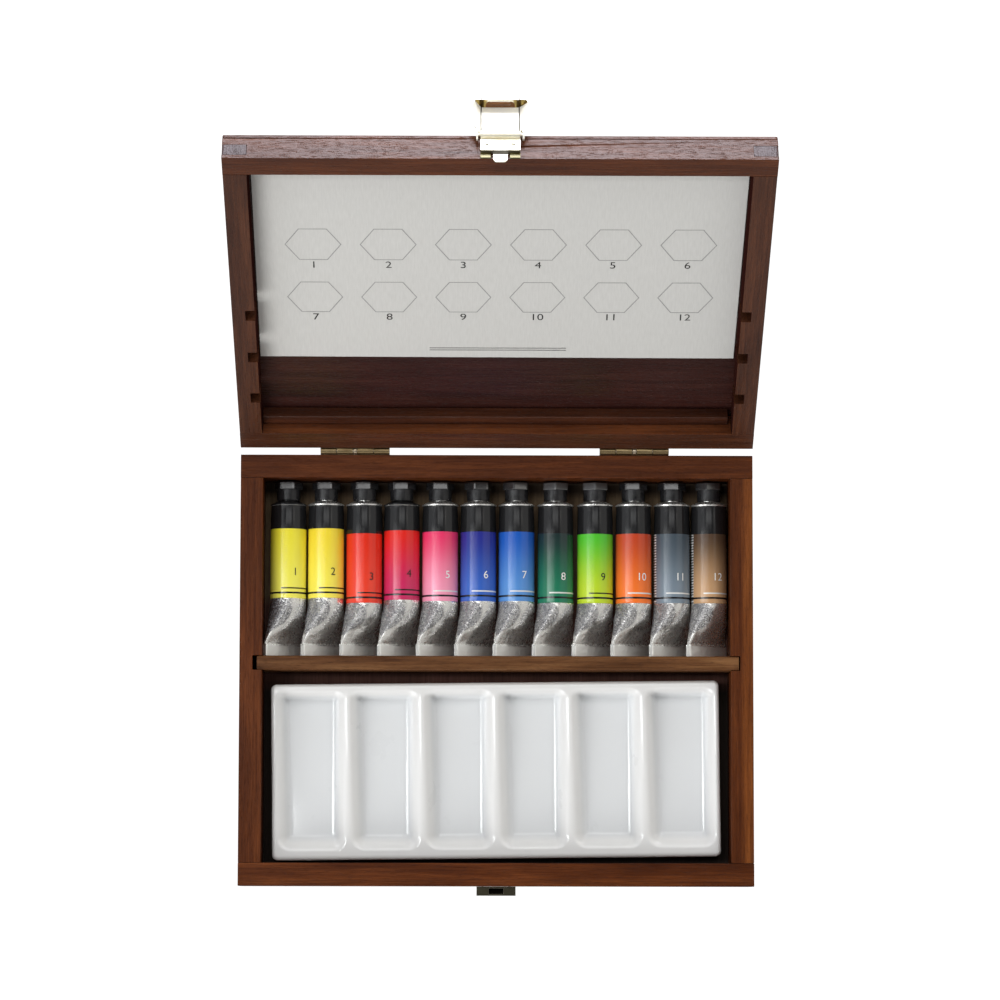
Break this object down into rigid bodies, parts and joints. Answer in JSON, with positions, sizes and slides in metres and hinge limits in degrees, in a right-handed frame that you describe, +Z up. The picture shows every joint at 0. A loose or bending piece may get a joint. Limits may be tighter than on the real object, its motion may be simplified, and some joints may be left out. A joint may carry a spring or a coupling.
{
  "type": "watercolour paint box",
  "caption": "Open hinged wooden box with a leaning shallow lid, a latch, a row of paint tubes behind a loose divider and a palette with sloped wells in front.",
  "frame": {"origin": "centre of the flat underside of the base", "axes": "+X to the right seen from the latch side, +Y towards the hinges, +Z up"},
  "size_m": [0.23, 0.3291, 0.1963],
  "materials": {
    "stained_wood": "dark stained, thin satin lacquer",
    "dark_wood": "dark stained",
    "plywood": "pale plywood inside, stained outside",
    "card": "matt printed card",
    "porcelain": "white glaze",
    "aged_brass": "dull, a little aged",
    "polished_brass": "bright polished plate",
    "cap_plastic": "black moulded",
    "tube_01_metal": "lemon yellow printed label on soft metal, bare at the folded end",
    "tube_02_metal": "warm yellow printed label on soft metal, bare at the folded end",
    "tube_03_metal": "vermilion printed label on soft metal, bare at the folded end",
    "tube_04_metal": "crimson printed label on soft metal, bare at the folded end",
    "tube_05_metal": "rose printed label on soft metal, bare at the folded end",
    "tube_06_metal": "ultramarine printed label on soft metal, bare at the folded end",
    "tube_07_metal": "mid blue printed label on soft metal, bare at the folded end",
    "tube_08_metal": "deep green printed label on soft metal, bare at the folded end",
    "tube_09_metal": "bright green printed label on soft metal, bare at the folded end",
    "tube_10_metal": "burnt orange printed label on soft metal, bare at the folded end",
    "tube_11_metal": "blue grey printed label on soft metal, bare at the folded end",
    "tube_12_metal": "dark brown printed label on soft metal, bare at the folded end"
  },
  "bodies": {
    "base": {"base_front_wall": "stained_wood", "base_back_wall": "stained_wood", "base_left_wall": "stained_wood", "base_right_wall": "stained_wood", "base_bottom_panel": "plywood", "hinge_left_base_leaf": "aged_brass", "hinge_right_base_leaf": "aged_brass", "hinge_left_pin": "aged_brass", "hinge_right_pin": "aged_brass", "hinge_left_base_screw_a": "aged_brass", "hinge_left_base_screw_b": "aged_brass", "hinge_right_base_screw_a": "aged_brass", "hinge_right_base_screw_b": "aged_brass", "catch_plate": "polished_brass", "catch_nail_left": "polished_brass", "catch_nail_right": "polished_brass"},
    "lid": {"lid_front_wall": "stained_wood", "lid_back_wall": "stained_wood", "lid_left_wall": "stained_wood", "lid_right_wall": "stained_wood", "lid_top_panel": "stained_wood", "lid_rear_batten": "dark_wood", "colour_chart_card": "card", "hinge_left_lid_leaf": "aged_brass", "hinge_right_lid_leaf": "aged_brass", "hinge_left_lid_screw_a": "aged_brass", "hinge_left_lid_screw_b": "aged_brass", "hinge_right_lid_screw_a": "aged_brass", "hinge_right_lid_screw_b": "aged_brass", "latch_lid_plate": "polished_brass", "latch_nail_left": "polished_brass", "latch_nail_right": "polished_brass"},
    "latch": {"latch_flap": "polished_brass", "latch_pin": "polished_brass"},
    "divider": {"compartment_divider": "stained_wood"},
    "mixing_palette": {"palette": "porcelain"},
    "tube_body_01": {"tube_01": "tube_01_metal"},
    "cap_body_01": {"tube_cap_01": "cap_plastic"},
    "tube_body_02": {"tube_02": "tube_02_metal"},
    "cap_body_02": {"tube_cap_02": "cap_plastic"},
    "tube_body_03": {"tube_03": "tube_03_metal"},
    "cap_body_03": {"tube_cap_03": "cap_plastic"},
    "tube_body_04": {"tube_04": "tube_04_metal"},
    "cap_body_04": {"tube_cap_04": "cap_plastic"},
    "tube_body_05": {"tube_05": "tube_05_metal"},
    "cap_body_05": {"tube_cap_05": "cap_plastic"},
    "tube_body_06": {"tube_06": "tube_06_metal"},
    "cap_body_06": {"tube_cap_06": "cap_plastic"},
    "tube_body_07": {"tube_07": "tube_07_metal"},
    "cap_body_07": {"tube_cap_07": "cap_plastic"},
    "tube_body_08": {"tube_08": "tube_08_metal"},
    "cap_body_08": {"tube_cap_08": "cap_plastic"},
    "tube_body_09": {"tube_09": "tube_09_metal"},
    "cap_body_09": {"tube_cap_09": "cap_plastic"},
    "tube_body_10": {"tube_10": "tube_10_metal"},
    "cap_body_10": {"tube_cap_10": "cap_plastic"},
    "tube_body_11": {"tube_11": "tube_11_metal"},
    "cap_body_11": {"tube_cap_11": "cap_plastic"},
    "tube_body_12": {"tube_12": "tube_12_metal"},
    "cap_body_12": {"tube_cap_12": "cap_plastic"}
  },
  "joints": [
    {"name": "lid_hinge", "type": "hinge", "parent": "base", "child": "lid", "pos_m": [0, 0.0983, 0.02715], "axis": [-1, 0, 0], "range_deg": [-121.8, 0]},
    {"name": "latch_flap_hinge", "type": "hinge", "parent": "lid", "child": "latch", "pos_m": [0, 0.21177, 0.18976], "axis": [-1, 0, 0], "range_deg": [-180, 0]},
    {"name": "divider_lift", "type": "slide", "parent": "base", "child": "divider", "axis": [0, 0, 1], "range_m": [0, 0.03]},
    {"name": "palette_lift", "type": "slide", "parent": "base", "child": "mixing_palette", "axis": [0, 0, 1], "range_m": [0, 0.045]},
    {"name": "tube_lift_01", "type": "slide", "parent": "base", "child": "tube_body_01", "axis": [0, 0, 1], "range_m": [0, 0.045]},
    {"name": "cap_turn_01", "type": "hinge", "parent": "tube_body_01", "child": "cap_body_01", "pos_m": [-0.094, 0.0854, 0.01155], "axis": [0, 1, 0], "range_deg": [0, 360]},
    {"name": "tube_lift_02", "type": "slide", "parent": "base", "child": "tube_body_02", "axis": [0, 0, 1], "range_m": [0, 0.045]},
    {"name": "cap_turn_02", "type": "hinge", "parent": "tube_body_02", "child": "cap_body_02", "pos_m": [-0.07701, 0.0854, 0.01155], "axis": [0, 1, 0], "range_deg": [0, 360]},
    {"name": "tube_lift_03", "type": "slide", "parent": "base", "child": "tube_body_03", "axis": [0, 0, 1], "range_m": [0, 0.045]},
    {"name": "cap_turn_03", "type": "hinge", "parent": "tube_body_03", "child": "cap_body_03", "pos_m": [-0.0597, 0.0854, 0.01155], "axis": [0, 1, 0], "range_deg": [0, 360]},
    {"name": "tube_lift_04", "type": "slide", "parent": "base", "child": "tube_body_04", "axis": [0, 0, 1], "range_m": [0, 0.045]},
    {"name": "cap_turn_04", "type": "hinge", "parent": "tube_body_04", "child": "cap_body_04", "pos_m": [-0.0428, 0.0854, 0.01155], "axis": [0, 1, 0], "range_deg": [0, 360]},
    {"name": "tube_lift_05", "type": "slide", "parent": "base", "child": "tube_body_05", "axis": [0, 0, 1], "range_m": [0, 0.045]},
    {"name": "cap_turn_05", "type": "hinge", "parent": "tube_body_05", "child": "cap_body_05", "pos_m": [-0.02541, 0.0854, 0.01155], "axis": [0, 1, 0], "range_deg": [0, 360]},
    {"name": "tube_lift_06", "type": "slide", "parent": "base", "child": "tube_body_06", "axis": [0, 0, 1], "range_m": [0, 0.045]},
    {"name": "cap_turn_06", "type": "hinge", "parent": "tube_body_06", "child": "cap_body_06", "pos_m": [-0.00821, 0.0854, 0.01155], "axis": [0, 1, 0], "range_deg": [0, 360]},
    {"name": "tube_lift_07", "type": "slide", "parent": "base", "child": "tube_body_07", "axis": [0, 0, 1], "range_m": [0, 0.045]},
    {"name": "cap_turn_07", "type": "hinge", "parent": "tube_body_07", "child": "cap_body_07", "pos_m": [0.0091, 0.0854, 0.01155], "axis": [0, 1, 0], "range_deg": [0, 360]},
    {"name": "tube_lift_08", "type": "slide", "parent": "base", "child": "tube_body_08", "axis": [0, 0, 1], "range_m": [0, 0.045]},
    {"name": "cap_turn_08", "type": "hinge", "parent": "tube_body_08", "child": "cap_body_08", "pos_m": [0.02669, 0.0854, 0.01155], "axis": [0, 1, 0], "range_deg": [0, 360]},
    {"name": "tube_lift_09", "type": "slide", "parent": "base", "child": "tube_body_09", "axis": [0, 0, 1], "range_m": [0, 0.045]},
    {"name": "cap_turn_09", "type": "hinge", "parent": "tube_body_09", "child": "cap_body_09", "pos_m": [0.0446, 0.0854, 0.01155], "axis": [0, 1, 0], "range_deg": [0, 360]},
    {"name": "tube_lift_10", "type": "slide", "parent": "base", "child": "tube_body_10", "axis": [0, 0, 1], "range_m": [0, 0.045]},
    {"name": "cap_turn_10", "type": "hinge", "parent": "tube_body_10", "child": "cap_body_10", "pos_m": [0.06199, 0.0854, 0.01155], "axis": [0, 1, 0], "range_deg": [0, 360]},
    {"name": "tube_lift_11", "type": "slide", "parent": "base", "child": "tube_body_11", "axis": [0, 0, 1], "range_m": [0, 0.045]},
    {"name": "cap_turn_11", "type": "hinge", "parent": "tube_body_11", "child": "cap_body_11", "pos_m": [0.07935, 0.0854, 0.01155], "axis": [0, 1, 0], "range_deg": [0, 360]},
    {"name": "tube_lift_12", "type": "slide", "parent": "base", "child": "tube_body_12", "axis": [0, 0, 1], "range_m": [0, 0.045]},
    {"name": "cap_turn_12", "type": "hinge", "parent": "tube_body_12", "child": "cap_body_12", "pos_m": [0.09615, 0.0854, 0.01155], "axis": [0, 1, 0], "range_deg": [0, 360]}
  ]
}
